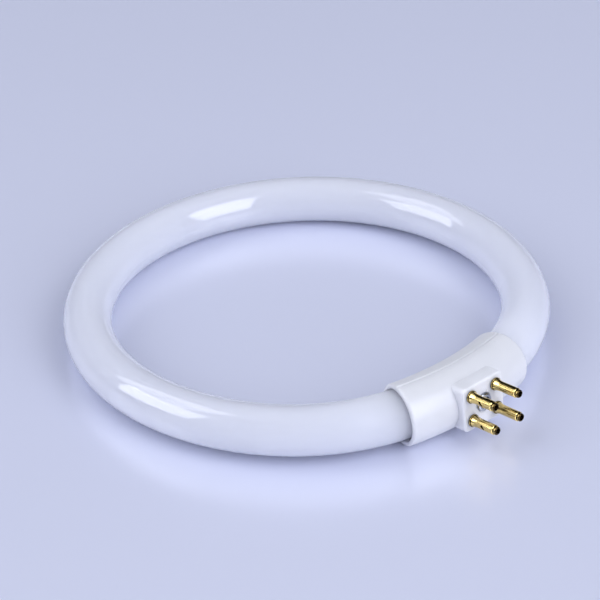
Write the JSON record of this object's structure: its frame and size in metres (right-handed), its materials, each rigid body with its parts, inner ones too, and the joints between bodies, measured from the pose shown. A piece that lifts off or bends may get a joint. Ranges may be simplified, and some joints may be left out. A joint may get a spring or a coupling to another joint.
{
  "type": "circular fluorescent tube",
  "caption": "Ring-shaped fluorescent lamp: a milky glass ring whose sealed ends meet in a clamped white base with hollow contact pins",
  "frame": {"origin": "centre of the glass ring, in the middle plane of the tube", "axes": "+Z is normal to the ring and up as it lies, +X points from the ring's centre to the base and its pins"},
  "size_m": [0.1333, 0.1234, 0.0156],
  "materials": {
    "coated_glass": "glossy glass over an even, milky white inner coat",
    "base_plastic": "moulded white plastic with a satin gloss",
    "pin_brass": "drawn brass, a little dull",
    "screw_steel": "plated steel",
    "lead_wire": "bare nickel-plated wire"
  },
  "bodies": {
    "root": {"glass_tube": "coated_glass", "base_outer_shell": "base_plastic", "base_inner_shell": "base_plastic", "clamp_screw": "screw_steel", "contact_pin_1": "pin_brass", "contact_pin_2": "pin_brass", "contact_pin_3": "pin_brass", "contact_pin_4": "pin_brass", "lead_wire_1": "lead_wire", "lead_wire_2": "lead_wire", "lead_wire_3": "lead_wire", "lead_wire_4": "lead_wire"}
  },
  "joints": []
}
